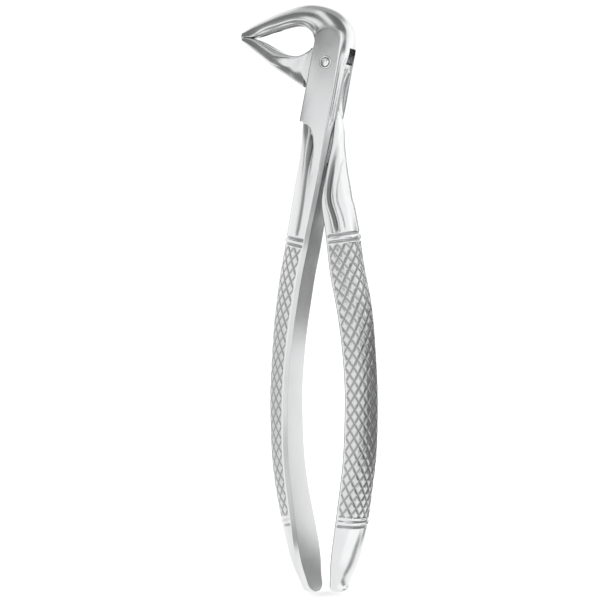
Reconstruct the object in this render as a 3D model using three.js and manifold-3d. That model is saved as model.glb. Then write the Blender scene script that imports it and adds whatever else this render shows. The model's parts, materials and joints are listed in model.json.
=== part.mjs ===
// Extraction forceps of the English pattern, with hawk-bill beaks for lower roots, closed.
// Two forged levers cross in a box joint: the tenon of one runs through a slot in the other, and a rivet
// holds both. Millimetres: X to the right, Y to the back, Z up along the closed instrument.
// The levers are drawn about the middle of the joint, and the whole group is then set so that the
// origin is where the rivet's axis leaves the flat back of the joint.
import * as THREE from "three";
import { mergeVertices } from "three/addons/utils/BufferGeometryUtils.js";
import Module from "manifold-3d";

const wasm = await Module();
wasm.setup();

// ---- Driving dimensions ----

const JOINT_DEPTH = 10; // front to back over the two cheeks
const SLOT_WIDTH = 4.5; // between the cheeks
const SIDE_PLAY = 0.1; // between the tenon and each cheek
const PANEL_RELIEF = 0.5; // how far the flat panel of each cheek stands proud of the beak's root
const PANEL_SET_BACK = 1.1; // from the joint's right side to the panel's right edge
const PANEL_BEVEL = 0.35;
const CORE_BEVEL = 0.9;
const RIVET_RADIUS = 1.9;
const RIVET_PLAY = 0.06;
const RIVET_SEGMENTS = 48;
const DOME_HEIGHT = 0.6; // of the rivet's head over the front cheek
const HOLLOW_RADIUS = 1.45; // of the spoon-shaped hollow inside each beak
const HOLLOW_DEPTH = 0.9;

const JOINT_RIGHT = 5.6; // right side of the joint, level with the rivet
const JOINT_LEFT = -5; // left side of the joint, level with the rivet
const SIDE_SLOPE = 0.209; // X per Z of the joint's leaning sides
const JOINT_TOP = 10.6; // height of the panel's top edge over the rivet
const JOINT_FOOT = -17.2; // height where the joint's left side ends and the neck begins

const GRIP_BEVEL = 1; // on the edges of a handle's flat inner face
const COLLAR_DEPTH = 0.45; // of the two grooves beside each collar bead
const BEAD_RISE = 0.2;
const COLLAR_HALF = 1.7; // from the bead's middle to the outer edge of a groove

const STEEL = { color: 0xc9cbcd, roughness: 0.28, metalness: 1 };

// ---- Curves and skins ----

// Point on a smooth curve through [x, z] points, at 0 to 1 from the first to the last.
function smoothPath(points) {
  const corners = points.map(([x, z]) => new THREE.Vector3(x, 0, z));
  return new THREE.CatmullRomCurve3(corners, false, "centripetal");
}

// A value that passes smoothly through the given ones, at 0 to 1 from the first to the last.
function smoothValue(values) {
  const curve = new THREE.SplineCurve(values.map((value, i) => new THREE.Vector2(i, value)));
  return (t) => curve.getPoint(t).y;
}

// X of the joint's right or left side at a height.
const rightSide = (z) => JOINT_RIGHT + SIDE_SLOPE * z;
const leftSide = (z) => JOINT_LEFT + SIDE_SLOPE * z;

// One closed skin over rings that all have the same number of points. Each end is closed by a fan.
function skin(rings) {
  const count = rings[0].length;
  const positions = rings.flat().flatMap((p) => [p.x, p.y, p.z]);
  const triangles = [];
  for (let r = 0; r + 1 < rings.length; r++) {
    for (let i = 0; i < count; i++) {
      const a = r * count + i;
      const b = r * count + ((i + 1) % count);
      triangles.push(a, b, b + count, a, b + count, a + count);
    }
  }
  const last = rings.length - 1;
  for (const [ring, turn] of [[0, 1], [last, 0]]) {
    const middle = new THREE.Vector3();
    rings[ring].forEach((p) => middle.addScaledVector(p, 1 / count));
    const centre = positions.length / 3;
    positions.push(middle.x, middle.y, middle.z);
    for (let i = 0; i < count; i++) {
      const a = ring * count + i;
      const b = ring * count + ((i + 1) % count);
      triangles.push(centre, turn ? b : a, turn ? a : b);
    }
  }
  const geometry = new THREE.BufferGeometry();
  geometry.setAttribute("position", new THREE.Float32BufferAttribute(positions, 3));
  geometry.setIndex(triangles);
  return geometry;
}

// A manifold-3d solid of a closed geometry, whichever way its faces were wound.
function solid(geometry) {
  const bare = geometry.clone();
  bare.deleteAttribute("normal");
  bare.deleteAttribute("uv");
  const merged = mergeVertices(bare, 1e-4);
  const vertProperties = merged.attributes.position.array;
  const triVerts = new Uint32Array(merged.index.array);
  const made = new wasm.Manifold(new wasm.Mesh({ numProp: 3, vertProperties, triVerts }));
  if (made.volume() > 0) return made;
  triVerts.reverse();
  return new wasm.Manifold(new wasm.Mesh({ numProp: 3, vertProperties, triVerts }));
}

function geometryOf(manifold) {
  const mesh = manifold.getMesh();
  const geometry = new THREE.BufferGeometry();
  geometry.setAttribute("position", new THREE.BufferAttribute(mesh.vertProperties, 3));
  geometry.setIndex(new THREE.BufferAttribute(mesh.triVerts, 1));
  const faceted = geometry.toNonIndexed();
  faceted.computeVertexNormals();
  return faceted;
}

// A plate with an outline in X and Z, centred on the joint's middle plane, with bevelled edges.
function plate(outline, depth, bevel = 0) {
  const shape = new THREE.Shape(outline.map(([x, z]) => new THREE.Vector2(x, z)));
  const geometry = new THREE.ExtrudeGeometry(shape, {
    depth: depth - 2 * bevel,
    bevelEnabled: bevel > 0,
    bevelThickness: bevel,
    bevelSize: bevel,
    bevelOffset: -bevel,
    bevelSegments: 1,
  });
  geometry.rotateX(Math.PI / 2);
  geometry.translate(0, depth / 2 - bevel, 0);
  return solid(geometry);
}

// A round bar along Y, centred on the rivet's axis.
function barAlongRivet(radius) {
  return solid(new THREE.CylinderGeometry(radius, radius, 2 * JOINT_DEPTH, RIVET_SEGMENTS));
}

// ---- Beaks ----

const BEAK_POINTS = 20; // round a beak's section
const BEAK_STEPS = 34; // along a beak

// A beak is skinned over rounded sections. Each station is
// [outer x, outer z, inner x, inner z, half width, squareness]: 2 is an ellipse, more is squarer.
function beak(stations) {
  const outer = smoothPath(stations.map((s) => [s[0], s[1]]));
  const inner = smoothPath(stations.map((s) => [s[2], s[3]]));
  const halfWidth = smoothValue(stations.map((s) => s[4]));
  const squareness = smoothValue(stations.map((s) => s[5]));
  const rings = [];
  for (let step = 0; step <= BEAK_STEPS; step++) {
    const t = step / BEAK_STEPS;
    const from = inner.getPoint(t);
    const across = outer.getPoint(t).sub(from).multiplyScalar(0.5);
    const middle = from.clone().add(across);
    const power = 2 / squareness(t);
    const ring = [];
    for (let i = 0; i < BEAK_POINTS; i++) {
      const angle = (2 * Math.PI * i) / BEAK_POINTS;
      const [c, s] = [Math.cos(angle), Math.sin(angle)];
      const point = middle.clone().addScaledVector(across, Math.sign(c) * Math.abs(c) ** power);
      point.y = halfWidth(t) * Math.sign(s) * Math.abs(s) ** power;
      ring.push(point);
    }
    rings.push(ring);
  }
  return solid(skin(rings));
}

// The spoon-shaped hollow in the inner face of a beak: a round-ended trough that dies out at both ends.
function beakHollow(from, to) {
  const start = new THREE.Vector3(from[0], 0, from[1]);
  const along = new THREE.Vector3(to[0], 0, to[1]).sub(start);
  const trough = new THREE.SphereGeometry(1, 20, 12);
  trough.scale(HOLLOW_DEPTH, HOLLOW_RADIUS, along.length() / 2);
  trough.rotateY(Math.atan2(along.x, along.z));
  const middle = start.addScaledVector(along, 0.5);
  trough.translate(middle.x, middle.y, middle.z);
  return solid(trough);
}

// ---- Handles ----

const GRIP_ARC = 12; // steps round the outer side of a handle
const GRIP_STEPS = 52; // along a handle
const PATH_SAMPLES = 2000; // at which a handle's path is searched for the heights of its rings
const COLLAR_CLEARANCE = 2; // along the path, within which a collar's own rings are the only ones

// [distance from the bead's middle, rise]: groove, bead, groove.
const COLLAR = [
  [-COLLAR_HALF, 0],
  [-1.25, -COLLAR_DEPTH],
  [-0.85, -COLLAR_DEPTH],
  [-0.4, BEAD_RISE],
  [0.4, BEAD_RISE],
  [0.85, -COLLAR_DEPTH],
  [1.25, -COLLAR_DEPTH],
  [COLLAR_HALF, 0],
];

// A D-shaped section: a flat inner face with bevelled edges and a rounded outer side.
// Gives [distance outwards, y] pairs once round. A rise lifts the outer side but not the bevels.
function gripSection(thickness, halfDepth, squareness, rise) {
  const bevel = Math.min(GRIP_BEVEL, thickness / 4, halfDepth / 4);
  const power = 2 / squareness;
  const points = [[0, bevel - halfDepth], [bevel, -halfDepth]];
  for (let i = 1; i < GRIP_ARC; i++) {
    const angle = (i / GRIP_ARC - 0.5) * Math.PI;
    const out = Math.cos(angle) ** power;
    const aside = Math.sign(angle) * Math.abs(Math.sin(angle)) ** power;
    points.push([bevel + (thickness - bevel + rise) * out, (halfDepth + rise * out) * aside]);
  }
  points.push([bevel, halfDepth], [0, halfDepth - bevel]);
  return points;
}

// A neck, handle and tail in one skin. Each station is [inner x, z, thickness, half depth, squareness].
// side is -1 for the left handle and 1 for the right one. collars are heights on the inner face.
function grip(stations, side, collars) {
  const inner = smoothPath(stations.map((s) => [s[0], s[1]]));
  const thickness = smoothValue(stations.map((s) => s[2]));
  const halfDepth = smoothValue(stations.map((s) => s[3]));
  const squareness = smoothValue(stations.map((s) => s[4]));
  const places = [];
  for (let i = 0; i <= PATH_SAMPLES; i++) {
    const t = i / PATH_SAMPLES;
    const z = inner.getPoint(t).z;
    const nextZ = inner.getPoint(Math.min(1, t + 1 / PATH_SAMPLES)).z;
    const nearCollar = collars.some((height) => Math.abs(z - height) < COLLAR_CLEARANCE);
    if (i % Math.round(PATH_SAMPLES / GRIP_STEPS) === 0 && !nearCollar) places.push([t, 0]);
    for (const height of collars) {
      for (const [distance, rise] of COLLAR) {
        if (z >= height - distance && nextZ < height - distance) places.push([t, rise]);
      }
    }
  }
  if (places.at(-1)[0] < 1) places.push([1, 0]);
  const rings = places.map(([t, rise]) => {
    const middle = inner.getPoint(t);
    const tangent = inner.getTangent(t);
    const outwards = new THREE.Vector3(-tangent.z, 0, tangent.x).multiplyScalar(side);
    const section = gripSection(thickness(t), halfDepth(t), squareness(t), rise);
    return section.map(([out, y]) => {
      const point = middle.clone().addScaledVector(outwards, out);
      point.y = y;
      return point;
    });
  });
  return solid(skin(rings));
}

// ---- The box lever: upper beak, slotted joint, left handle ----

function upperBeak() {
  return beak([
    [-30.4, 10.4, -30.2, 9.9, 0.5, 2],
    [-29.7, 11.1, -29.6, 9.65, 1.5, 2],
    [-28.5, 11.8, -28.3, 9.5, 2.1, 2.2],
    [-26.7, 12.7, -26.3, 9.3, 2.45, 2.4],
    [-22.9, 14.3, -21.6, 10.2, 2.7, 2.4],
    [-18.2, 16.0, -16.7, 11.2, 3.0, 2.4],
    [-12.9, 17.4, -12.3, 11.9, 3.4, 2.5],
    [-6.7, 18.2, -9.6, 11.8, 3.9, 2.6],
    [-0.6, 16.9, -7.2, 10.9, 4.3, 3],
    [4.0, 13.9, -5.4, 9.2, 4.5, 3.5],
    [6.4, 9.6, -4.5, 7.1, 4.5, 4],
    [6.5, 6.2, -3.9, 5.7, 4.5, 4],
  ]);
}

// The flat panels on the front and back of the joint, drawn as one plate through it.
function panelOutline() {
  const right = (z) => rightSide(z) - PANEL_SET_BACK;
  return [
    [leftSide(8.6) - 0.3, 8.6],
    [leftSide(9.9) + 0.4, 9.9],
    [-1.4, JOINT_TOP],
    [4.0, JOINT_TOP],
    [5.6, 10.1],
    [right(8.8), 8.8],
    [right(-30), -30],
    [-5.0, -26],
    [-7.2, -21],
    [leftSide(JOINT_FOOT), JOINT_FOOT],
  ];
}

// The body of the joint behind the panels: a little less deep, and wider on the right.
function coreOutline() {
  return [
    [leftSide(7), 7],
    [0, 10],
    [rightSide(8) - 1.2, 8],
    [rightSide(4), 4],
    [rightSide(-24), -24],
    [-6.5, -22],
    [leftSide(JOINT_FOOT) + 0.3, JOINT_FOOT],
  ];
}

// The space that the tenon turns in. Its ceiling is square to the leaning joint, and its floor runs
// from the left mouth down to the inner side of the neck.
function slotOutline() {
  const reach = 12;
  const ceiling = (x) => 5.5 - SIDE_SLOPE * x;
  return [
    [-reach, ceiling(-reach)],
    [reach, ceiling(reach)],
    [reach, -31.4],
    [-0.9, -31.4],
    [-1.7, -27.5],
    [-2.7, -23],
    [-4.2, -17],
    [-6.2, -11.8],
    [-reach, -6.6],
  ];
}

const LEFT_COLLARS = [-54.2, -136.6];

function leftGrip() {
  return grip(
    [
      [rightSide(-13), -13, 10.4, 4.9, 7],
      [rightSide(-19), -19, 10.1, 4.9, 5],
      [rightSide(-26), -26, 9.7, 4.95, 3.2],
      [rightSide(-32), -32, 9.6, 5.0, 2.6],
      [rightSide(-38), -38, 9.6, 5.2, 2.2],
      [rightSide(-44), -44, 9.5, 5.4, 2],
      [-4.9, -50, 9.3, 5.6, 2],
      [-6.05, -55.8, 9.2, 5.75, 2],
      [-7.4, -61.8, 9.1, 5.8, 2],
      [-8.9, -70, 8.9, 5.9, 2],
      [-10.5, -80, 8.5, 5.95, 2],
      [-11.5, -88.8, 8.1, 6.05, 2],
      [-12.15, -98, 7.9, 6.2, 2],
      [-12.2, -108, 7.7, 6.5, 2],
      [-11.75, -118.8, 7.5, 6.85, 2],
      [-10.6, -127.8, 7.2, 7.2, 2],
      [-9.0, -136.8, 6.6, 7.8, 2],
      [-7.5, -145.5, 5.5, 8.3, 2],
      [-6.4, -151.3, 4.3, 7.4, 2],
      [-5.2, -155.6, 3.5, 5.6, 2],
      [-4.3, -157.7, 2.6, 3.4, 2],
      [-4.1, -158.4, 1.0, 1.4, 2],
    ],
    -1,
    LEFT_COLLARS,
  );
}

function boxLever() {
  const whole = upperBeak()
    .add(plate(coreOutline(), JOINT_DEPTH - 2 * PANEL_RELIEF, CORE_BEVEL))
    .add(plate(panelOutline(), JOINT_DEPTH, PANEL_BEVEL))
    .add(leftGrip());
  return whole
    .subtract(plate(slotOutline(), SLOT_WIDTH))
    .subtract(barAlongRivet(RIVET_RADIUS + RIVET_PLAY))
    .subtract(beakHollow([-29.4, 9.5], [-15.7, 11.9]));
}

// ---- The tenon lever: lower beak, tenon, right handle ----

function lowerBeak() {
  return beak([
    [-30.2, 9.0, -30.2, 9.4, 0.5, 2],
    [-29.5, 8.1, -29.5, 9.35, 1.5, 2],
    [-28.3, 7.1, -28.3, 9.25, 2.1, 2.2],
    [-26.5, 5.6, -26.2, 8.9, 2.45, 2.4],
    [-22.8, 2.7, -20.9, 6.7, 2.8, 2.4],
    [-18.7, -0.5, -16.2, 4.4, 3.1, 2.4],
    [-15.6, -2.4, -12.7, 3.2, 3.0, 2.6],
    [-13.1, -3.8, -9.4, 3.1, 2.5, 3],
    [-11.3, -4.7, -7.1, 3.4, 2.1, 4],
    [-9.7, -5.6, -5.5, 3.9, 2.05, 5],
  ]);
}

function tenonOutline() {
  return [
    [-9.0, 2.5],
    [-7.0, 2.9],
    [-5.2, 3.8],
    [-2.5, 4.7],
    [0.5, 4.8],
    [3.2, 3.7],
    [4.9, 1.2],
    [5.2, -0.4],
    [4.9, -2.5],
    [3.85, -7.5],
    [3.0, -12],
    [2.6, -16],
    [2.6, -20],
    [3.2, -26],
    [3.6, -32],
    [0.5, -32],
    [-0.4, -30.5],
    [-1.2, -27.3],
    [-2.2, -22.9],
    [-3.7, -16.8],
    [-5.8, -11.2],
    [-8.4, -7.0],
    [-10.4, -5.3],
  ];
}

const RIGHT_COLLARS = [-52.8, -136.5];

function rightGrip() {
  return grip(
    [
      [1.7, -13.5, 1.0, 1.7, 2],
      [1.75, -17, 1.7, 2.2, 2],
      [1.6, -20, 2.3, 2.7, 2],
      [1.25, -24, 2.8, 3.2, 2],
      [0.6, -28, 4.0, 3.8, 2],
      [-0.1, -32.2, 5.2, 4.4, 2],
      [-0.7, -37, 6.7, 5.0, 2],
      [-1.2, -41.7, 8.0, 5.3, 2],
      [-0.35, -47.5, 8.3, 5.5, 2],
      [0.6, -53.7, 8.5, 5.7, 2],
      [2.0, -64, 8.8, 5.8, 2],
      [3.5, -71, 8.8, 5.9, 2],
      [5.05, -79.8, 8.4, 5.95, 2],
      [6.1, -88.8, 8.0, 6.05, 2],
      [6.7, -97, 7.8, 6.2, 2],
      [6.8, -107, 7.7, 6.5, 2],
      [6.35, -118.8, 7.5, 6.85, 2],
      [5.4, -127.8, 7.1, 7.2, 2],
      [4.4, -136.8, 6.6, 7.8, 2],
      [3.4, -145.5, 5.2, 8.3, 2],
      [2.5, -151.3, 4.0, 7.4, 2],
      [1.6, -155.6, 3.3, 5.6, 2],
      [1.2, -157.7, 2.6, 3.4, 2],
      [1.1, -158.4, 1.0, 1.4, 2],
    ],
    1,
    RIGHT_COLLARS,
  );
}

function tenonLever() {
  return lowerBeak()
    .add(plate(tenonOutline(), SLOT_WIDTH - 2 * SIDE_PLAY))
    .add(rightGrip())
    .subtract(barAlongRivet(RIVET_RADIUS + RIVET_PLAY))
    .subtract(beakHollow([-29.4, 9.4], [-15.2, 4.0]));
}

// ---- The rivet ----

// Its tail is flush with the back of the joint, and its head is a ring round a low dome in front.
function rivetGeometry() {
  const front = JOINT_DEPTH;
  const ringRise = 0.2;
  const slope = 0.15; // on the ring's outer edge and on the dome's foot
  const grooveRadius = RIVET_RADIUS - 0.5;
  const domeRadius = grooveRadius - slope;
  const profile = [
    [0, 0],
    [RIVET_RADIUS, 0],
    [RIVET_RADIUS, front],
    [RIVET_RADIUS - slope, front + ringRise],
    [grooveRadius, front + ringRise],
    [domeRadius, front],
  ];
  const steps = 5;
  for (let i = 1; i <= steps; i++) {
    const angle = (i / steps) * (Math.PI / 2);
    profile.push([domeRadius * Math.cos(angle), front + DOME_HEIGHT * Math.sin(angle)]);
  }
  const points = profile.map(([r, height]) => new THREE.Vector2(Math.max(r, 0), height));
  points.at(-1).x = 0;
  const geometry = new THREE.LatheGeometry(points, RIVET_SEGMENTS);
  geometry.rotateX(Math.PI);
  geometry.translate(0, JOINT_DEPTH / 2, 0);
  return geometry;
}

// ---- Assembly ----

function steelMesh(name, geometry, shade) {
  const material = new THREE.MeshStandardMaterial({ ...STEEL, ...shade });
  const mesh = new THREE.Mesh(geometry, material);
  mesh.name = name;
  return mesh;
}

const forceps = new THREE.Group();
forceps.position.y = -JOINT_DEPTH / 2;
forceps.add(
  steelMesh("box_lever", geometryOf(boxLever())),
  steelMesh("tenon_lever", geometryOf(tenonLever())),
  steelMesh("joint_rivet", geometryOf(solid(rivetGeometry())), { color: 0xd8dadc, roughness: 0.2 }),
);

export default forceps;
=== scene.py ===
import json
import math

import bmesh
import bpy
import numpy as np
from mathutils import Matrix, Quaternion, Vector


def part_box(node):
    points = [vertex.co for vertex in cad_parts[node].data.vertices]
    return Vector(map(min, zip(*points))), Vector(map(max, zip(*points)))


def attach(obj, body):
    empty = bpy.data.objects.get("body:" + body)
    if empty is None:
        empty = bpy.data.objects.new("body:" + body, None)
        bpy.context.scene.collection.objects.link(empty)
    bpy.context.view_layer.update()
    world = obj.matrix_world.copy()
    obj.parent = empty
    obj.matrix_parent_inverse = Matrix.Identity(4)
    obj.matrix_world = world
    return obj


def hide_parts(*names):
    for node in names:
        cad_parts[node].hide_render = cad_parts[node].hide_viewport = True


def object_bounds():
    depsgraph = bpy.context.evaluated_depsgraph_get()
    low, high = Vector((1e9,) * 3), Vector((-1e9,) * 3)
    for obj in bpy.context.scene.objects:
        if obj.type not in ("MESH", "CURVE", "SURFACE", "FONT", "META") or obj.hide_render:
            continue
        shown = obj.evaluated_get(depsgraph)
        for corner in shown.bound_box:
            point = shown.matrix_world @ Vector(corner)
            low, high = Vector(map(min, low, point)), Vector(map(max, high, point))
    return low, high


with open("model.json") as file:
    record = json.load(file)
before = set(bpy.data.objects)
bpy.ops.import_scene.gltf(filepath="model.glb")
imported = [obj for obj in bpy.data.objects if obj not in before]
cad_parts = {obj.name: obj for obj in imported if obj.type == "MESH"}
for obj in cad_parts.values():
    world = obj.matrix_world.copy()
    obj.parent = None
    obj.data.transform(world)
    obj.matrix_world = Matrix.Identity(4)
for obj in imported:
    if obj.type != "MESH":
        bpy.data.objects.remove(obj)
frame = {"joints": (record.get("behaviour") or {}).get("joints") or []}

CAD_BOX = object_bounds()
MM = 0.001

# ---- Places taken from the frame ----

BOX_LOW, BOX_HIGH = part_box("box_lever")
RIVET_LOW, RIVET_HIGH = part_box("joint_rivet")
MIDDLE_Y = (BOX_LOW.y + BOX_HIGH.y) / 2
PIVOT = Vector(frame["joints"][0]["pos_m"]) + Vector((0, MIDDLE_Y, 0))
JOINT_DEPTH = 2 * (RIVET_HIGH.y - PIVOT.y) / MM
RIVET_RADIUS = (RIVET_HIGH.x - RIVET_LOW.x) / 2 / MM

# ---- Driving sizes, in millimetres ----

SLOT_WIDTH = 4.5
TENON_WIDTH = 4.3
RIVET_CLEARANCE = 0.06
PANEL_SET_BACK = 1.1
JOINT_RIGHT = 5.6
JOINT_LEFT = -5.0
SIDE_SLOPE = 0.209
JOINT_TOP = 10.6
JOINT_FOOT = -17.2

# The knurl is a net of crossing grooves, and a diamond is the steel between them.
DIAMOND_LENGTH = 4.1
DIAMOND_WIDTH = 2.35
DIAMONDS_ACROSS = 8
KNURL_DEPTH = 0.27
KNURL_GROOVE_REACH = 0.6
KNURL_GROOVE_SHARPNESS = 1.5  # 1 would be a plain V
KNURL_SINK = 0.28  # how far the diamonds lie below the plain steel, as a share of the depth
KNURL_FADE = 0.3  # distance over which the knurl dies out at its edges

# A collar is a round bead between two grooves.
BEAD_RISE = 0.2
BEAD_REACH = 0.62
COLLAR_GROOVE_DEPTH = 0.38
COLLAR_GROOVE_PLACE = 0.98  # from the bead's middle to a groove's
COLLAR_GROOVE_REACH = 0.5
LOWER_COLLAR_GROOVE = 0.3  # depth of the lower collar's upper groove, as a share
COLLAR_REACH = 1.9
COLLAR_OVERLAP = 0.25  # how far the knurl runs into the collar's reach
COLLAR_FADE = 0.1, 0.6  # distances from the rim between which a collar comes in

# How much rougher the steel is made, and how much painted shade darkens it, in a knurl groove and per
# millimetre of depth in a flute.
GROOVE_DULL_AND_SHADE = 0.85
FLUTE_DULL_AND_SHADE = 2.5

# ---- Fineness of the meshes ----

DIAMOND_CELLS = 16
MARGIN_CELLS = 4
NECK_STEP = 0.6
COLLAR_STEP = 0.1
TAIL_RINGS = 60
PATH_SAMPLES = 3000
SIDE_SAMPLES = 721
SLOPE_STEP = 0.01


def right_side(z):
    """X of the joint's right side at a height."""
    return JOINT_RIGHT + SIDE_SLOPE * z


def left_side(z):
    """X of the joint's left side at a height."""
    return JOINT_LEFT + SIDE_SLOPE * z


# ---- Curves ----


def spline(knots, values):
    """A natural cubic spline through values at increasing knots, as a function of an array of places."""
    knots = np.asarray(knots, float)
    values = np.asarray(values, float)
    gaps = np.diff(knots)
    system = np.eye(len(knots))
    right = np.zeros(values.shape)
    for i in range(1, len(knots) - 1):
        system[i, i - 1 : i + 2] = gaps[i - 1] / 6, (gaps[i - 1] + gaps[i]) / 3, gaps[i] / 6
        slope_after = (values[i + 1] - values[i]) / gaps[i]
        slope_before = (values[i] - values[i - 1]) / gaps[i - 1]
        right[i] = slope_after - slope_before
    bend = np.linalg.solve(system, right)

    def at(places):
        places = np.asarray(places, float)
        i = np.clip(np.searchsorted(knots, places) - 1, 0, len(gaps) - 1)
        gap = gaps[i]
        after = (places - knots[i]) / gap
        before = 1 - after
        if values.ndim > 1:
            gap, after, before = gap[..., None], after[..., None], before[..., None]
        straight = before * values[i] + after * values[i + 1]
        curl = (before**3 - before) * bend[i] + (after**3 - after) * bend[i + 1]
        return straight + curl * gap**2 / 6

    return at


def run_along(points):
    """Distance along a chain of points, from its first one."""
    steps = np.linalg.norm(np.diff(points, axis=0), axis=1)
    return np.concatenate([[0], np.cumsum(steps)])


def smooth_step(low, high, value):
    """0 at low, rising smoothly to 1 at high."""
    t = np.clip((value - low) / (high - low), 0, 1)
    return t * t * (3 - 2 * t)


def bump(value, middle, reach):
    """1 at the middle, falling smoothly to 0 at the reach on both sides."""
    return 1 - smooth_step(0, 1, np.abs(value - middle) / reach)


# ---- Meshes ----


def new_object(name, mesh):
    made = bpy.data.objects.new(name, mesh)
    bpy.context.scene.collection.objects.link(made)
    return made


def mesh_object(name, bm):
    bmesh.ops.recalc_face_normals(bm, faces=bm.faces)
    mesh = bpy.data.meshes.new(name)
    bm.to_mesh(mesh)
    bm.free()
    return new_object(name, mesh)


def skin(name, rings, dull_and_shade=None):
    """A closed body over rings with the same number of points, with a fan at each end. A cell is split
    along the diagonal that lies lower, so that a groove that crosses cells stays clean.
    A value from 0 to 1 for each point, given last, is kept for the material, which makes the steel
    rougher there and darkens it with painted shade."""
    rings = np.asarray(rings, float)
    rows, count = rings.shape[:2]
    index = np.arange(rows * count).reshape(rows, count)
    a = index[:-1]
    b = np.roll(a, -1, axis=1)
    d = index[1:]
    c = np.roll(d, -1, axis=1)
    flat = rings.reshape(-1, 3)
    middle = rings.mean(axis=1)
    out = np.linalg.norm(rings - middle[:, None], axis=2).ravel()
    first = (out[a] + out[c] < out[b] + out[d]).ravel()
    a, b, c, d = (part.ravel() for part in (a, b, c, d))
    one = np.stack([a, b, np.where(first, c, d)], axis=1)
    two = np.stack([np.where(first, a, b), c, d], axis=1)
    caps = []
    for row, extra in ((0, len(flat)), (rows - 1, len(flat) + 1)):
        ring = index[row]
        caps.append(np.stack([ring, np.roll(ring, -1), np.full(count, extra)], axis=1))
    flat = np.concatenate([flat, middle[[0, -1]]])
    triangles = np.concatenate([one, two, caps[0][:, ::-1], caps[1]])
    mesh = bpy.data.meshes.new(name)
    mesh.from_pydata(flat.tolist(), [], triangles.tolist())
    if dull_and_shade is not None:
        amounts = mesh.attributes.new("dull_and_shade", "FLOAT", "POINT")
        amounts.data.foreach_set("value", np.concatenate([np.ravel(dull_and_shade), [0, 0]]))
    bm = bmesh.new()
    bm.from_mesh(mesh)
    bpy.data.meshes.remove(mesh)
    return mesh_object(name, bm)


def rounded(corners, steps=5):
    """An outline of (x, z, radius) corners, each turned into an arc that fits within its two sides."""
    outline = []
    for i, (x, z, radius) in enumerate(corners):
        here = np.array([x, z])
        legs = []
        for j in (i - 1, (i + 1) % len(corners)):
            leg = np.array(corners[j][:2]) - here
            legs.append(leg / np.linalg.norm(leg) * min(radius, 0.45 * np.linalg.norm(leg)))
        if radius == 0:
            outline.append(tuple(here))
            continue
        for t in np.linspace(0, 1, steps):
            outline.append(tuple(here + legs[0] * (1 - t) ** 2 + legs[1] * t**2))
    return outline


def plate(name, outline, depth, edge=0.0):
    """A plate with an outline in X and Z, centred on the joint's middle plane, its rims rounded."""
    bm = bmesh.new()
    face = bm.faces.new([bm.verts.new((x, -depth / 2, z)) for x, z in outline])
    made = bmesh.ops.extrude_face_region(bm, geom=[face])
    moved = [item for item in made["geom"] if isinstance(item, bmesh.types.BMVert)]
    bmesh.ops.translate(bm, verts=moved, vec=(0, depth, 0))
    if edge:
        rims = [e for e in bm.edges if abs(e.verts[0].co.y - e.verts[1].co.y) < depth / 2]
        bmesh.ops.bevel(bm, geom=rims, offset=edge, segments=4, profile=0.5, affect="EDGES")
    bmesh.ops.triangulate(bm, faces=[f for f in bm.faces if len(f.verts) > 4])
    return mesh_object(name, bm)


def lathe(name, profile, steps=96):
    """A body turned about the rivet's axis. The profile is (radius, y) pairs."""
    angles = np.linspace(0, 2 * math.pi, steps, endpoint=False)
    rings = [[(r * math.cos(a), y, r * math.sin(a)) for a in angles] for r, y in profile]
    return skin(name, rings)


def apply_modifiers(piece):
    """Gives the piece the mesh that its modifiers make of it, and removes them."""
    graph = bpy.context.evaluated_depsgraph_get()
    made = bpy.data.meshes.new_from_object(piece.evaluated_get(graph))
    piece.modifiers.clear()
    piece.data = made


def combined(target, operation, *others):
    """Target joined with or cut by the others, which are used up."""
    for other in others:
        modifier = target.modifiers.new(other.name, "BOOLEAN")
        modifier.object = other
        modifier.operation = operation
        modifier.solver = "MANIFOLD"
    apply_modifiers(target)
    for other in others:
        bpy.data.objects.remove(other)
    return target


# ---- Beaks ----

BEAK_POINTS = 88
BEAK_STEP = 0.35


def beak(name, stations):
    """A body over stations of [outer x, outer z, inner x, inner z, half width, outer squareness,
    inner squareness], tip first. Each half of a cross-section has its own squareness: 2 is round, and
    with a larger one the faces are flatter and the corners sharper."""
    stations = np.array(stations, float)
    places = run_along((stations[:, 0:2] + stations[:, 2:4]) / 2)
    at = spline(places, stations)(np.arange(0, places[-1], BEAK_STEP))
    angles = np.linspace(0, 2 * math.pi, BEAK_POINTS, endpoint=False)
    rings = []
    for outer_x, outer_z, inner_x, inner_z, half_width, outer_square, inner_square in at:
        power = 2 / np.where(np.cos(angles) < 0, inner_square, outer_square)
        out = np.sign(np.cos(angles)) * np.abs(np.cos(angles)) ** power
        aside = np.sign(np.sin(angles)) * np.abs(np.sin(angles)) ** power
        x = (outer_x + inner_x) / 2 + (outer_x - inner_x) / 2 * out
        z = (outer_z + inner_z) / 2 + (outer_z - inner_z) / 2 * out
        rings.append(np.stack([x, half_width * aside, z], axis=1))
    return skin(name, rings)


def scoop(name, centre, size, lean):
    """An ellipsoid that cuts a long shallow hollow. size is its half sizes, lean its turn about Y."""
    bm = bmesh.new()
    bmesh.ops.create_uvsphere(bm, u_segments=48, v_segments=48, radius=1)
    place = Matrix.Translation(centre) @ Matrix.Rotation(lean, 4, "Y") @ Matrix.Diagonal((*size, 1))
    bmesh.ops.transform(bm, matrix=place, verts=bm.verts)
    return mesh_object(name, bm)


def beak_hollow(name, start, end):
    """A round-ended trough that is cut into the inner face of a beak."""
    depth = 0.7
    half_width = 1.1
    along = Vector((end[0] - start[0], 0, end[1] - start[1]))
    middle = ((start[0] + end[0]) / 2, 0, (start[1] + end[1]) / 2)
    return scoop(name, middle, (depth, half_width, along.length / 2), math.atan2(along.x, along.z))


# ---- Handles ----


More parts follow.
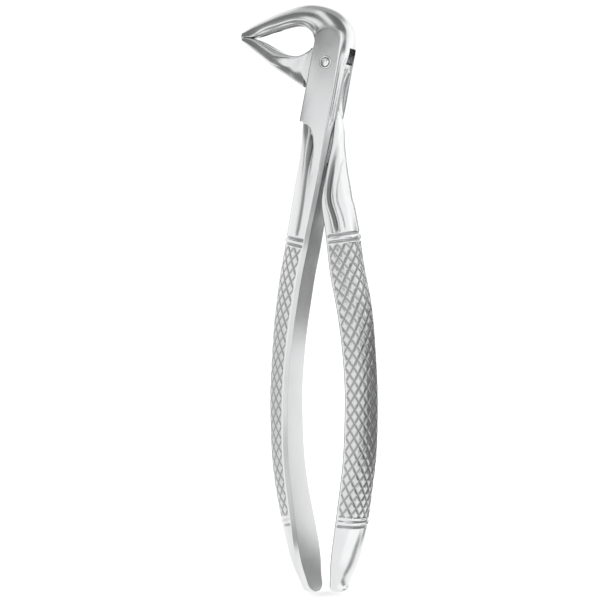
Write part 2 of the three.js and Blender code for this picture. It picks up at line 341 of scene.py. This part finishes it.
def knurl(run, across):
    """How deep in a groove of the net, from 0 to 1. across is counted in diamonds."""
    spacing = 1 / math.hypot(1 / DIAMOND_LENGTH, 1 / DIAMOND_WIDTH)
    near = 1.0
    for line in (run / DIAMOND_LENGTH + across, run / DIAMOND_LENGTH - across):
        near = np.minimum(near, np.abs(line - np.round(line)) * spacing)
    return (1 - np.clip(near / KNURL_GROOVE_REACH, 0, 1)) ** KNURL_GROOVE_SHARPNESS


def collar(distance, upper_groove):
    """Rise of a groove, a round bead and another groove, by distance down from the bead's middle.
    upper_groove is the depth of the upper groove as a share of the lower one's."""
    bead = BEAD_RISE * np.sqrt(np.clip(1 - (distance / BEAD_REACH) ** 2, 0, 1))
    depth = COLLAR_GROOVE_DEPTH * (upper_groove if distance < 0 else 1)
    return bead - depth * bump(np.abs(distance), COLLAR_GROOVE_PLACE, COLLAR_GROOVE_REACH)


def ring_places(first, second, end):
    """Places of a handle's rings by distance down it: close together on the collars and the knurl,
    and closing up towards the tail's tip."""
    knurl_start = first + COLLAR_REACH - COLLAR_OVERLAP
    knurl_end = second - COLLAR_REACH + COLLAR_OVERLAP
    tail_start = second + COLLAR_REACH
    places = np.concatenate([
        np.arange(0, first - COLLAR_REACH, NECK_STEP),
        np.arange(first - COLLAR_REACH, knurl_start, COLLAR_STEP),
        np.arange(knurl_start, knurl_end, DIAMOND_LENGTH / DIAMOND_CELLS),
        np.arange(knurl_end, tail_start, COLLAR_STEP),
        tail_start + (end - tail_start) * np.sin(np.linspace(0, math.pi / 2, TAIL_RINGS)),
    ])
    return places, knurl_start, knurl_end


def outer_side(thickness, half_depth, squareness, chamfer, margin):
    """The cross-section's outer side, from its front rim to its back rim: each point's distance out from
    the inner face, its place front to back, its distance from the nearer rim, and the margin's width."""
    angles = np.linspace(-math.pi / 2, math.pi / 2, SIDE_SAMPLES)
    power = 2 / squareness
    out = chamfer + (thickness - chamfer) * np.cos(angles).clip(0) ** power
    aside = half_depth * np.sign(angles) * np.abs(np.sin(angles)) ** power
    arc = run_along(np.stack([out, aside], axis=1))
    edge = min(margin, arc[-1] / 8)
    margins = edge * np.arange(MARGIN_CELLS) / MARGIN_CELLS
    cells = np.linspace(edge, arc[-1] - edge, DIAMONDS_ACROSS * DIAMOND_CELLS + 1)
    along = np.concatenate([margins, cells, arc[-1] - margins[::-1]])
    from_rim = np.minimum(along, arc[-1] - along)
    return np.interp(along, arc, out), np.interp(along, arc, aside), from_rim, edge


def grip(name, stations, side, collars, rim, margin, flute):
    """A neck, handle and tail in one skin, with a flat inner face. Each station is
    [inner x, z, thickness, half depth, squareness], from the joint down. side is -1 for the left handle.
    rim is the bevel of the inner face, margin the plain strip beside it. flute gives the depth of the
    hollows in the front by (height, distance out from the inner face)."""
    stations = np.array(stations, float)
    knots = run_along(stations[:, :2])
    shape = spline(knots, stations)
    samples = np.linspace(0, knots[-1], PATH_SAMPLES)
    first, second = (np.interp(-height, -shape(samples)[:, 1], samples) for height in collars)
    places, knurl_start, knurl_end = ring_places(first, second, knots[-1])
    rings, dull_and_shade = [], []
    for place, (x, z, thickness, half_depth, squareness) in zip(places, shape(places)):
        slope = shape(place + SLOPE_STEP)[:2] - shape(place - SLOPE_STEP)[:2]
        slope /= np.linalg.norm(slope)
        outwards = np.array([-slope[1], slope[0]]) * side
        chamfer = min(rim, thickness / 4, half_depth / 4)
        out, aside, from_rim, edge = outer_side(thickness, half_depth, squareness, chamfer, margin)
        normal = np.stack([np.gradient(aside), -np.gradient(out)], axis=1)
        normal /= np.linalg.norm(normal, axis=1)[:, None]
        rise = collar(place - first, 1) + collar(place - second, LOWER_COLLAR_GROOVE)
        rise = rise * smooth_step(*COLLAR_FADE, from_rim)
        pattern = np.zeros(len(out))
        if knurl_start < place < knurl_end:
            across = (np.arange(len(out)) - len(out) // 2) / DIAMOND_CELLS
            fade = min(1, (place - knurl_start) / KNURL_FADE, (knurl_end - place) / KNURL_FADE)
            inside = smooth_step(0, KNURL_FADE, from_rim - edge)
            net = knurl(place - knurl_start, across)
            pattern = inside * fade * (KNURL_SINK + (1 - KNURL_SINK) * net)
        hollow = np.where(aside < 0, flute(z, out), 0)
        rise = rise - KNURL_DEPTH * pattern - hollow
        # How dull each point is, which the material turns into added roughness and painted shade.
        dullness_and_shade = (GROOVE_DULL_AND_SHADE * pattern + FLUTE_DULL_AND_SHADE * hollow).clip(0, 1)
        out, aside = out + normal[:, 0] * rise, aside + normal[:, 1] * rise
        out = np.concatenate([[0], out, [0]])
        aside = np.concatenate([[chamfer - half_depth], aside, [half_depth - chamfer]])
        rings.append(np.stack([x + outwards[0] * out, aside, z + outwards[1] * out], axis=1))
        dull_and_shade.append(np.concatenate([[0], dullness_and_shade, [0]]))
    return skin(name, rings, dull_and_shade)


# ---- The box lever ----


def upper_beak():
    """The beak and, in the same skin, the body of the joint that it grows out of."""
    return beak("upper_beak", [
        [-30.4, 10.3, -30.3, 9.55, 0.5, 2, 6],
        [-29.7, 11.1, -29.6, 9.42, 1.5, 2, 8],
        [-28.5, 11.8, -28.3, 9.32, 2.1, 2.2, 8],
        [-26.7, 12.7, -26.3, 9.2, 2.45, 2.4, 6],
        [-22.9, 14.3, -21.6, 10.0, 2.7, 2.4, 2.6],
        [-18.2, 16.0, -16.7, 11.0, 3.0, 2.4, 2.4],
        [-12.9, 17.4, -12.3, 11.7, 3.4, 2.4, 2.4],
        [-6.7, 18.2, -9.6, 11.6, 3.8, 2.4, 2.4],
        [-0.6, 16.9, -7.9, 10.9, 3.9, 2.3, 2.3],
        [4.3, 13.9, -6.2, 9.2, 3.8, 2.2, 2.2],
        [7.1, 9.8, -5.6, 7.4, 3.8, 2.2, 2.2],
        [7.4, 6.0, -5.1, 5.2, 4.0, 2.4, 2.4],
        [right_side(3) + 0.6, 3, left_side(3) - 0.2, 3, 4.2, 4, 4],
        [right_side(0) + 0.2, 0, left_side(0), 0, 4.35, 7, 7],
        [right_side(-5), -5, left_side(-5), -5, 4.4, 10, 10],
        [right_side(-10), -10, left_side(-10), -10, 4.4, 12, 12],
        [right_side(-15), -15, left_side(-15), -15, 4.4, 12, 12],
        [right_side(-18) - 0.1, -18, left_side(-17) + 0.6, -17, 4.3, 10, 10],
        [right_side(-23) - 0.5, -23, -6.5, -21, 4.2, 6, 6],
    ])


def panel():
    """The flat faces on the front and back of the joint, drawn as one plate through it. Its right edge
    stays inside the joint's, by a little more towards the top."""
    foot = -38  # inside the neck
    rim = 0.4

    def right(z):
        return right_side(z) - PANEL_SET_BACK - 0.022 * (z - JOINT_FOOT)

    outline = rounded([
        (left_side(9.6), 9.6, 1.2),
        (-1.0, JOINT_TOP, 4),
        (3.0, JOINT_TOP, 3),
        (right(8.3), 8.3, 3),
        (right(foot), foot, 0),
        (-6.0, foot, 0),
        (-4.7, -30.6, 4),
        (-3.8, -24.6, 4),
        (-4.7, -19.3, 4),
        (left_side(JOINT_FOOT) + 1.6, JOINT_FOOT - 0.6, 2),
        (left_side(JOINT_FOOT), JOINT_FOOT, 0),
    ])
    return plate("panel", outline, JOINT_DEPTH, rim)


def slot():
    """The space that the tenon turns in. Its roof is square to the joint's sides, and its left side is
    curved."""
    reach = 12
    roof = 5.5
    foot = -31.4
    left = [(-0.9, foot), (-1.7, -27.5), (-2.7, -23), (-4.2, -17), (-6.2, -11.8)]
    outline = rounded([
        (-reach, roof + SIDE_SLOPE * reach, 0),
        (reach, roof - SIDE_SLOPE * reach, 0),
        (reach, foot, 0),
        *((x, z, 3) for x, z in left),
        (-reach, -6.6, 0),
    ])
    return plate("slot", outline, SLOT_WIDTH)


def left_flute(z, out):
    """A scoop that starts at the panel's foot, and runs out as a groove down the front of the neck."""
    scoop_depth, groove_depth = 0.9, 0.35
    scoop_reach, groove_reach = 1.5, 1.35
    under_panel = np.clip((z + 22) / 4.8, 0, 1)
    middle = 4 + 1.4 * smooth_step(-52, -26, z) + 4.2 * under_panel**2
    neck = smooth_step(-24, -34, z)
    length = smooth_step(-17, -19, z) * (1 - smooth_step(-50, -53, z))
    depth = scoop_depth + (groove_depth - scoop_depth) * neck
    reach = scoop_reach + (groove_reach - scoop_reach) * neck
    return length * depth * bump(out, middle, reach)


def left_grip():
    """The left neck and handle. Its first stations lie inside the joint."""
    path = [
        [right_side(-13) - 0.2, -13, 10.0, 4.3, 7],
        [right_side(-19), -19, 10.1, 4.55, 5.5],
        [right_side(-26), -26, 9.7, 4.8, 3.4],
        [right_side(-32), -32, 9.6, 5.0, 2.6],
        [right_side(-38), -38, 9.6, 5.2, 2.2],
        [right_side(-44), -44, 9.5, 5.4, 2],
        [-4.9, -50, 9.3, 5.6, 2],
        [-6.05, -55.8, 9.2, 5.75, 2],
        [-7.4, -61.8, 9.1, 5.8, 2],
        [-8.9, -70, 8.9, 5.9, 2],
        [-10.5, -80, 8.5, 5.95, 2],
        [-11.5, -88.8, 8.1, 6.05, 2],
        [-12.15, -98, 7.9, 6.2, 2],
        [-12.2, -108, 7.7, 6.5, 2],
        [-11.75, -118.8, 7.5, 6.85, 2],
        [-10.6, -127.8, 7.2, 7.2, 2],
        [-9.0, -136.8, 6.6, 7.8, 2],
        [-7.5, -145.5, 5.5, 8.3, 2],
        [-6.5, -151.3, 4.3, 7.4, 2],
        [-5.6, -155.6, 3.4, 5.9, 2],
        [-4.9, -157.7, 2.4, 3.9, 2],
        [-4.6, -158.4, 1.0, 1.6, 2],
    ]
    return grip("left_grip", path, -1, collars=(-54.2, -136.6), rim=1.05, margin=0.5, flute=left_flute)


def rivet_hole():
    radius = RIVET_RADIUS + RIVET_CLEARANCE
    return lathe("rivet_hole", [(radius, -JOINT_DEPTH), (radius, JOINT_DEPTH)])


def box_lever():
    whole = combined(upper_beak(), "UNION", panel(), left_grip())
    whole.name = "box_lever_visual"
    hollow = beak_hollow("hollow", (-24.8, 9.6), (-15.7, 11.6))
    return combined(whole, "DIFFERENCE", slot(), rivet_hole(), hollow)


# ---- The tenon lever ----


def lower_beak():
    """The beak. Towards the joint its sides turn flat above and stay round below."""
    return beak("lower_beak", [
        [-30.2, 8.9, -30.3, 9.5, 0.5, 2, 6],
        [-29.5, 8.1, -29.6, 9.38, 1.5, 2, 8],
        [-28.3, 7.1, -28.3, 9.28, 2.1, 2.2, 8],
        [-26.5, 5.6, -25.8, 9.0, 2.45, 2.3, 5],
        [-22.8, 2.7, -20.3, 6.6, 2.8, 2.3, 2.6],
        [-18.7, -0.5, -15.9, 4.3, 3.0, 2.2, 3],
        [-15.6, -2.4, -12.6, 3.1, 2.9, 2.2, 6],
        [-13.3, -3.9, -9.6, 3.0, 2.55, 2.2, 8],
        [-11.5, -5.1, -7.3, 4.0, 2.25, 2.4, 10],
        [-8.6, -6.9, -5.7, 5.2, 2.1, 2.8, 10],
    ])


def tenon():
    """The flat middle of the lever, which turns in the slot."""
    corner = 0.7
    top = [(-9.0, 2.5), (-7.3, 2.95), (-6.1, 4.0), (-5.2, 5.3), (-3.2, 5.5), (0.5, 4.8), (2.9, 3.7)]
    right = [
        (3.2, 0.2), (5.3, -0.3), (4.9, -2.5), (3.85, -7.5), (3.0, -12), (2.6, -16),
        (2.6, -20), (3.2, -26), (3.6, -32),
    ]
    left = [
        (0.5, -32), (-0.4, -30.5), (-1.2, -27.3), (-2.2, -22.9), (-3.7, -16.8),
        (-5.8, -11.2), (-6.9, -7.4), (-7.9, -4.9), (-9.3, -2.6),
    ]
    return plate("tenon", rounded([(x, z, corner) for x, z in top + right + left]), TENON_WIDTH)


def right_flute(z, out):
    """A groove that drifts outwards down the front of the arm, with a fine line beside it."""
    groove_depth, groove_reach = 0.75, 1.1
    line_depth, line_reach = 0.2, 0.4
    line_offset = 2.2
    length = smooth_step(-20, -40, z) * (1 - smooth_step(-49, -52, z))
    middle = 3.6 - 1.8 * smooth_step(-50, -35, z)
    groove = groove_depth * bump(out, middle, groove_reach)
    line = line_depth * bump(out, middle + line_offset, line_reach)
    return length * (groove + line)


def right_grip():
    """The right arm and handle. Its first stations lie inside the tenon."""
    path = [
        [1.7, -13.5, 1.0, 1.7, 2],
        [1.75, -17, 1.7, 2.2, 2],
        [1.6, -20, 2.3, 2.7, 2],
        [1.25, -24, 2.8, 3.2, 2],
        [0.6, -28, 4.0, 3.8, 2],
        [-0.1, -32.2, 5.2, 4.4, 2],
        [-0.7, -37, 6.7, 5.0, 2],
        [-1.2, -41.7, 8.0, 5.3, 2],
        [-0.35, -47.5, 8.3, 5.5, 2],
        [0.6, -53.7, 8.5, 5.7, 2],
        [2.0, -64, 8.8, 5.8, 2],
        [3.5, -71, 8.8, 5.9, 2],
        [5.05, -79.8, 8.4, 5.95, 2],
        [6.1, -88.8, 8.0, 6.05, 2],
        [6.7, -97, 7.8, 6.2, 2],
        [6.8, -107, 7.7, 6.5, 2],
        [6.35, -118.8, 7.5, 6.85, 2],
        [5.4, -127.8, 7.1, 7.2, 2],
        [4.4, -136.8, 6.6, 7.8, 2],
        [3.4, -145.5, 5.2, 8.3, 2],
        [2.5, -151.3, 4.0, 7.4, 2],
        [1.6, -155.6, 3.3, 5.6, 2],
        [1.2, -157.7, 2.6, 3.4, 2],
        [1.1, -158.4, 1.0, 1.4, 2],
    ]
    return grip("right_grip", path, 1, collars=(-52.8, -136.5), rim=0.35, margin=0.2, flute=right_flute)


def recess():
    """The long hollow in the lever's right side, below the notch of the joint."""
    height = -8.8
    half_sizes = (2.0, 2.9, 8.0)
    centre = (right_side(height) + 0.9, 0.6, height)
    return scoop("recess", centre, half_sizes, math.atan(SIDE_SLOPE))


def tenon_lever():
    whole = combined(lower_beak(), "UNION", tenon(), right_grip())
    whole.name = "tenon_lever_visual"
    hollow = beak_hollow("hollow", (-24.8, 8.5), (-15.0, 3.9))
    return combined(whole, "DIFFERENCE", rivet_hole(), hollow, recess())


# ---- The rivet ----


def rivet():
    """A pin flush with the back of the joint, with a ring round a low dome in front."""
    front = -JOINT_DEPTH / 2
    back = JOINT_DEPTH / 2
    ring_rise = 0.2
    ring_width = 0.5
    dome_height = 0.6
    edge = 0.12
    gap_width = 0.15
    gap_depth = 0.1
    tail_middle = 0.05
    ring_inside = RIVET_RADIUS - ring_width
    ring_middle = RIVET_RADIUS - ring_width / 2
    dome_radius = ring_inside - gap_width
    profile = [
        (tail_middle, back),
        (RIVET_RADIUS - edge, back),
        (RIVET_RADIUS, back - edge),
        (RIVET_RADIUS, front),
    ]
    for angle in np.linspace(0, math.pi, 9):
        radius = ring_middle + ring_width / 2 * math.cos(angle)
        profile.append((radius, front - ring_rise * math.sin(angle)))
    profile.append((dome_radius + gap_width / 3, front + gap_depth))
    for angle in np.linspace(0, math.pi / 2, 12)[:-1]:
        profile.append((dome_radius * math.cos(angle), front - dome_height * math.sin(angle)))
    return lathe("rivet_visual", profile)


# ---- Materials ----


def add(tree, kind, inputs=(), **settings):
    """A shader node with its settings and its inputs, given by name or number as a value or a socket."""
    made = tree.nodes.new("ShaderNode" + kind)
    for key, value in settings.items():
        setattr(made, key, value)
    for key, value in dict(inputs).items():
        if isinstance(value, bpy.types.NodeSocket):
            tree.links.new(value, made.inputs[key])
        else:
            made.inputs[key].default_value = value
    return made


def maths(tree, operation, *values):
    return add(tree, "Math", enumerate(values), operation=operation).outputs[0]


def ramp(tree, value, low, high, to_low, to_high):
    """A value mapped smoothly from one range to another."""
    inputs = {0: value, 1: low, 2: high, 3: to_low, 4: to_high}
    return add(tree, "MapRange", inputs, interpolation_type="SMOOTHSTEP").outputs[0]


def noise(tree, place, scale, detail=3.0):
    return add(tree, "TexNoise", {"Vector": place, "Scale": scale, "Detail": detail}).outputs[0]


# How steel looks. Lengths are in metres, and scales count features per metre.
GRAIN_SCALE = 5200
GRAIN_STRETCH = 0.04  # of the scale along Z, which makes fine lengthwise lines
GRAIN_SHARE = 0.8  # of the relief, and the rest is specks
SPECK_SCALE = 2600
RELIEF_HEIGHT = 0.00004
RELIEF_STRENGTH = 0.08
CLOUD_SCALE = 90
CLOUD_SHADE = 0.95, 1.03
CLOUD_ROUGHNESS = 0.03
HOLLOW_REACH = 0.003
HOLLOW_SHADE = 0.35  # painted shade: how much of the colour is left in the deepest hollow
HOLLOW_ROUGHNESS = 0.2  # what it adds to the roughness
PAINTED_GROOVE_SHADE = 0.42  # the same two where the mesh marks a groove or flute, the shade being painted
DULL_ROUGHNESS = 0.25
EDGE_RADIUS = 0.00012


def steel(name, tint, roughness, grain=1.0):
    """Satin steel: fine lengthwise grain, cloudy variation, rougher in the hollows and in the grooves and
    flutes that the mesh marks, with painted shade darkening both, and edges that look slightly rounded."""
    material = bpy.data.materials.new(name)
    material.use_nodes = True
    tree = material.node_tree
    tree.nodes.clear()
    place = add(tree, "TexCoord").outputs["Object"]
    clouds = noise(tree, place, CLOUD_SCALE, 4)
    around = add(tree, "AmbientOcclusion", {"Distance": HOLLOW_REACH}, samples=8, only_local=True)
    openness = around.outputs["AO"]
    dull_and_shade = add(tree, "Attribute", attribute_name="dull_and_shade").outputs["Fac"]

    # Painted shade: the colour is darkened where ambient occlusion finds a hollow, and in the grooves and
    # flutes that the mesh marks.
    hollow_shade = ramp(tree, openness, 0.3, 0.95, HOLLOW_SHADE, 1)
    shade = maths(tree, "MULTIPLY", hollow_shade, ramp(tree, dull_and_shade, 0, 1, 1, PAINTED_GROOVE_SHADE))
    mottle = maths(tree, "MULTIPLY", shade, ramp(tree, clouds, 0.3, 0.7, *CLOUD_SHADE))
    colour = add(tree, "VectorMath", {0: tint, 3: mottle}, operation="SCALE").outputs[0]

    low, high = roughness - CLOUD_ROUGHNESS, roughness + CLOUD_ROUGHNESS
    hollow_rough = ramp(tree, openness, 0.4, 0.97, HOLLOW_ROUGHNESS, 0)
    extra = maths(tree, "ADD", hollow_rough, ramp(tree, dull_and_shade, 0, 1, 0, DULL_ROUGHNESS))
    rough = maths(tree, "ADD", ramp(tree, clouds, 0.3, 0.7, low, high), extra)

    lengthwise = add(tree, "Mapping", {"Vector": place, "Scale": (1, 1, GRAIN_STRETCH)}).outputs[0]
    lines = maths(tree, "MULTIPLY", noise(tree, lengthwise, GRAIN_SCALE, 2), GRAIN_SHARE)
    specks = maths(tree, "MULTIPLY", noise(tree, place, SPECK_SCALE, 2), 1 - GRAIN_SHARE)
    edges = add(tree, "Bevel", {"Radius": EDGE_RADIUS}, samples=4).outputs[0]
    relief = add(tree, "Bump", {
        "Height": maths(tree, "ADD", lines, specks),
        "Strength": RELIEF_STRENGTH * grain,
        "Distance": RELIEF_HEIGHT,
        "Normal": edges,
    })
    surface = add(tree, "BsdfPrincipled", {
        "Base Color": colour, "Metallic": 1.0, "Roughness": rough, "Normal": relief.outputs[0],
    })
    output = add(tree, "OutputMaterial")
    tree.links.new(surface.outputs[0], output.inputs[0])
    return material


def floor_material():
    """Matt and nearly white, faintly cloudy, and glowing a little so that shadows stay light."""
    darkest, palest = 0.93, 0.96
    glow = 0.35
    material = bpy.data.materials.new("pale_floor")
    material.use_nodes = True
    tree = material.node_tree
    surface = tree.nodes["Principled BSDF"]
    place = add(tree, "TexCoord").outputs["Object"]
    tone = ramp(tree, noise(tree, place, 6), 0.2, 0.8, darkest, palest)
    colour = add(tree, "CombineColor", {0: tone, 1: tone, 2: tone}).outputs[0]
    tree.links.new(colour, surface.inputs["Base Color"])
    tree.links.new(colour, surface.inputs["Emission Color"])
    surface.inputs["Emission Strength"].default_value = glow
    surface.inputs["Roughness"].default_value = 0.9
    return material


# ---- Finishing a piece ----

WELD_DISTANCE = 0.0005  # in millimetres, before a piece is scaled to metres
SHARP_ANGLE = 32


def clean(mesh):
    """Welds what touches and removes slivers and loose edges, which the cuts can leave."""
    bm = bmesh.new()
    bm.from_mesh(mesh)
    bmesh.ops.remove_doubles(bm, verts=bm.verts, dist=WELD_DISTANCE)
    bmesh.ops.dissolve_degenerate(bm, edges=bm.edges, dist=WELD_DISTANCE)
    bmesh.ops.triangulate(bm, faces=bm.faces)
    bmesh.ops.delete(bm, geom=[edge for edge in bm.edges if edge.is_wire], context="EDGES")
    bm.to_mesh(mesh)
    bm.free()


def finish_piece(piece, material, body, node):
    """Sets a piece on the frame, with its material, body and the CAD node that it stands for."""
    clean(piece.data)
    piece.data.transform(Matrix.Translation(PIVOT) @ Matrix.Scale(MM, 4))
    piece.data.materials.clear()
    piece.data.materials.append(material)
    piece.data.shade_smooth()
    piece.data.set_sharp_from_angle(angle=math.radians(SHARP_ANGLE))
    flat_faces = piece.modifiers.new("flat_faces", "WEIGHTED_NORMAL")
    flat_faces.keep_sharp = True
    apply_modifiers(piece)
    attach(piece, body)
    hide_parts(node)


lever_steel = steel("lever_steel", (0.7, 0.705, 0.71), 0.21)
rivet_steel = steel("rivet_steel", (0.86, 0.865, 0.87), 0.34, 0.4)
finish_piece(box_lever(), lever_steel, "box_half", "box_lever")
finish_piece(tenon_lever(), lever_steel, "tenon_half", "tenon_lever")
finish_piece(rivet(), rivet_steel, "box_half", "joint_rivet")

# ---- Floor and light ----


def floor():
    """A plain floor just below the handles' ends, in metres. It isn't reflected in the steel."""
    half_width = 4
    gap = 0.0004
    bm = bmesh.new()
    bmesh.ops.create_grid(bm, x_segments=1, y_segments=1, size=half_width)
    made = mesh_object("floor", bm)
    made.location = (0, 0, CAD_BOX[0].z - gap)
    made.data.materials.append(floor_material())
    made.visible_glossy = False


def card(tree, towards, azimuth, height, half_width, half_height, soft, strength):
    """The light that a soft-edged rectangle on the sky adds in the direction towards, or takes away if
    strength is negative. Its sizes are in degrees. Azimuth 0 is in front, 90 to the right."""
    turn = math.radians(azimuth)
    ahead = add(tree, "VectorMath", {0: towards, 1: (math.sin(turn), -math.cos(turn), 0)},
                operation="DOT_PRODUCT").outputs["Value"]
    aside = add(tree, "VectorMath", {0: towards, 1: (math.cos(turn), math.sin(turn), 0)},
                operation="DOT_PRODUCT").outputs["Value"]
    up = add(tree, "SeparateXYZ", {0: towards}).outputs[2]
    swing = maths(tree, "ABSOLUTE", maths(tree, "ARCTAN2", aside, ahead))
    above = maths(tree, "SUBTRACT", maths(tree, "ARCSINE", up), math.radians(height))
    lift = maths(tree, "ABSOLUTE", above)
    soft = math.radians(soft)
    wide, high = math.radians(half_width), math.radians(half_height)
    across = ramp(tree, swing, wide - soft, wide + soft, 1, 0)
    upright = ramp(tree, lift, high - soft, high + soft, 1, 0)
    return maths(tree, "MULTIPLY", maths(tree, "MULTIPLY", across, upright), strength)


def studio_light():
    """A pale room, darker overhead and in a patch high in front, and a little brighter at the right.
    It lights the object and the floor, and the camera sees white in its place."""
    room = 1.2
    darkest = 0.05
    white = 1.15
    world = bpy.data.worlds.new("studio")
    bpy.context.scene.world = world
    world.use_nodes = True
    tree = world.node_tree
    tree.nodes.clear()
    towards = add(tree, "TexCoord").outputs["Generated"]
    total = add(tree, "Value").outputs[0]
    total.default_value = room
    cards = [
        # azimuth, height, half width, half height, softness, strength
        (0, 90, 180, 34, 8, -0.7),
        (12, 45, 15, 16, 5, -0.8),
        (110, 8, 38, 40, 12, 0.2),
    ]
    for values in cards:
        total = maths(tree, "ADD", total, card(tree, towards, *values))
    total = maths(tree, "MAXIMUM", total, darkest)
    seen = add(tree, "LightPath").outputs["Is Camera Ray"]
    strength = add(tree, "Mix", {0: seen, 2: total, 3: white}).outputs[0]
    light = add(tree, "Background", {"Color": (1, 1, 1, 1), "Strength": strength})
    output = add(tree, "OutputWorld")
    tree.links.new(light.outputs[0], output.inputs[0])


def flag(name, x, y, low, high, width, soft, brightness, lean=0):
    """A soft-edged card for the steel to reflect. The camera and diffuse light don't see it, but it does
    block a little of the room's light. It is placed in millimetres from the joint's middle, and faces the
    upright line through it. It stands upright, or is turned in its own plane by lean, in degrees."""
    bm = bmesh.new()
    bmesh.ops.create_grid(bm, x_segments=1, y_segments=1, size=1)
    made = mesh_object(name, bm)
    height = high - low
    made.scale = (width / 2 * MM, height / 2 * MM, 1)
    made.location = PIVOT + Vector((x, y, (low + high) / 2)) * MM
    made.rotation_mode = "QUATERNION"
    turn = Quaternion((0, 0, 1), math.radians(lean))
    made.rotation_quaternion = Vector((-x, -y, 0)).to_track_quat("Z", "Y") @ turn
    material = bpy.data.materials.new(name)
    material.use_nodes = True
    tree = material.node_tree
    tree.nodes.clear()
    place = add(tree, "SeparateXYZ", {0: add(tree, "TexCoord").outputs["Object"]})
    cover = 1.0
    for axis, size in ((0, width), (1, height)):
        off_centre = maths(tree, "ABSOLUTE", place.outputs[axis])
        cover = maths(tree, "MULTIPLY", cover, ramp(tree, off_centre, 1 - 2 * soft / size, 1, 1, 0))
    light = add(tree, "Emission", {"Strength": brightness})
    clear = add(tree, "BsdfTransparent")
    mixed = add(tree, "MixShader", {0: cover, 1: clear.outputs[0], 2: light.outputs[0]})
    output = add(tree, "OutputMaterial")
    tree.links.new(mixed.outputs[0], output.inputs[0])
    made.data.materials.append(material)
    made.visible_camera = False
    made.visible_diffuse = False


def flags():
    """Cards round the object, each one reflected by a part of it. All are darker than the room, except
    for lower_beak_light."""
    cards = [
        # name, x, y, low, high, width, soft edge, brightness, lean
        ("panel", -118, -257, 26, 150, 100, 15, 0.15),
        ("beaks", -83, -68, -22, 68, 74, 8, 0.24),
        ("beaks_top", -72, -78, 62, 190, 100, 8, 0.65),
        ("knuckle", 26, -61, 22, 130, 66, 6, 0.2),
        ("lower_beak", -50, -22, -20, -3, 34, 4, 0.3),
        ("lower_beak_foot", -26, -24, -22, -3, 20, 2, 0.25),
        ("lower_beak_edge", -27, -9, -18, -6, 16, 2, 0.3),
        ("lower_beak_light", -29, -42, -3, 14, 14, 4, 1.25),
        ("panel_edge", -108, 0, -10, 60, 110, 10, 0.3),
        ("necks", 18, -200, -46, 20, 95, 12, 0.2),
        ("shoulder", 130, -80, -92, -34, 100, 12, 0.5),
        ("recess", 94, 40, -60, -18, 80, 8, 0.35),
        ("inner_face", 37, 94, -98, 0, 32, 8, 0.22),
        ("crossing", -38, 88, -130, -20, 110, 6, 0.25),
        ("right_handle", 114, 8, -152, -58, 130, 18, 0.15),
        ("right_handle_edge", 60, 40, -148, -62, 100, 6, 0.3),
        ("left_handle", -118, -30, -150, -58, 190, 20, 0.95),
        ("tail_rim", 81, -51, -136, -110, 50, 5, 0.4),
        ("left_tail", 30.4, 57.8, -166, -125.5, 24, 3, 0.35, -27),
        ("right_tail", 72, 80, -245, -178, 44, 8, 0.3),
    ]
    for name, *values in cards:
        flag("flag_" + name, *values)


def camera():
    """Almost level with the object's middle, a little to its right, in metres. The joint is right of
    centre."""
    azimuth = math.radians(25)
    distance = 0.57
    joint_off_centre = 0.0096
    below_middle = 0.00055
    back = Vector((math.sin(azimuth), -math.cos(azimuth), 0))
    right = Vector((math.cos(azimuth), math.sin(azimuth), 0))
    middle = (CAD_BOX[0].z + CAD_BOX[1].z) / 2 - below_middle
    target = Vector((PIVOT.x, PIVOT.y, middle)) - right * joint_off_centre
    data = bpy.data.cameras.new("camera")
    data.lens = 114
    data.sensor_width = 36
    made = new_object("camera", data)
    made.location = target + back * distance
    made.rotation_mode = "QUATERNION"
    made.rotation_quaternion = back.to_track_quat("Z", "Y")
    bpy.context.scene.camera = made


floor()
studio_light()
flags()
camera()
bpy.context.scene.view_settings.view_transform = "Standard"

bpy.context.view_layer.update()
